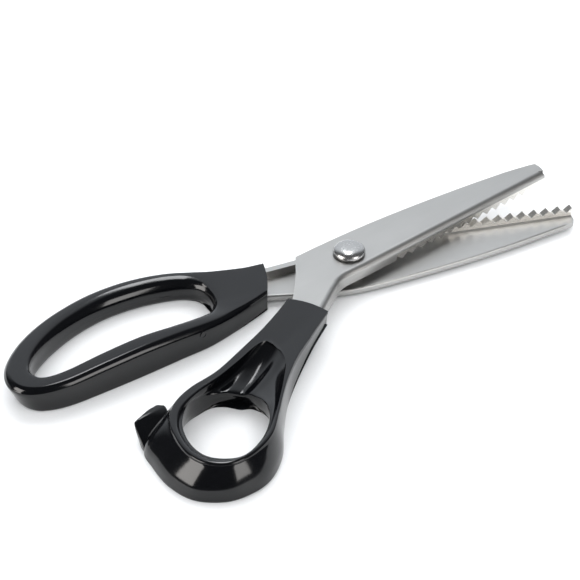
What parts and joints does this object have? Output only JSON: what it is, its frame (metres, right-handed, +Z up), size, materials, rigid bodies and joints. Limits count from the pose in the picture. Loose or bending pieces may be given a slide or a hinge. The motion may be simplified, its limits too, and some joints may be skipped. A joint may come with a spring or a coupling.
{
  "type": "pinking shears",
  "caption": "Long shears with zigzag-toothed blades on a domed pivot bolt, a round thumb ring with a closing stop and a long oval finger loop, lying half open.",
  "frame": {"origin": "on the pivot axis, at the surface that the shears lie on, which is the pivot nut's underside", "axes": "+X along the blades towards the tips, +Y to the far side on which the finger loop lies, +Z up along the pivot axis towards the bolt head"},
  "size_m": [0.2519, 0.1303, 0.0162],
  "materials": {
    "blade_steel": "brushed stainless steel, satin, fine grain along the blade",
    "tooth_steel": "ground hardened steel, slightly warmer than the blades",
    "polished_steel": "polished stainless steel, domed",
    "nylon": "natural nylon",
    "handle_plastic": "black moulded plastic, high gloss"
  },
  "bodies": {
    "lower_half": {"lower_blade": "blade_steel", "lower_tooth_strip": "tooth_steel", "lower_pivot_boss": "blade_steel", "pivot_nut": "polished_steel", "pivot_bolt": "polished_steel", "friction_washer": "nylon", "flat_washer": "blade_steel", "wave_washer": "blade_steel", "finger_handle": "handle_plastic"},
    "upper_half": {"upper_blade": "blade_steel", "upper_tooth_strip": "tooth_steel", "upper_pivot_boss": "blade_steel", "thumb_handle": "handle_plastic"}
  },
  "joints": [
    {"name": "blade_pivot", "type": "hinge", "parent": "lower_half", "child": "upper_half", "pos_m": [0, 0, 0.00725], "axis": [0, 0, 1], "range_deg": [-12, 30]}
  ]
}
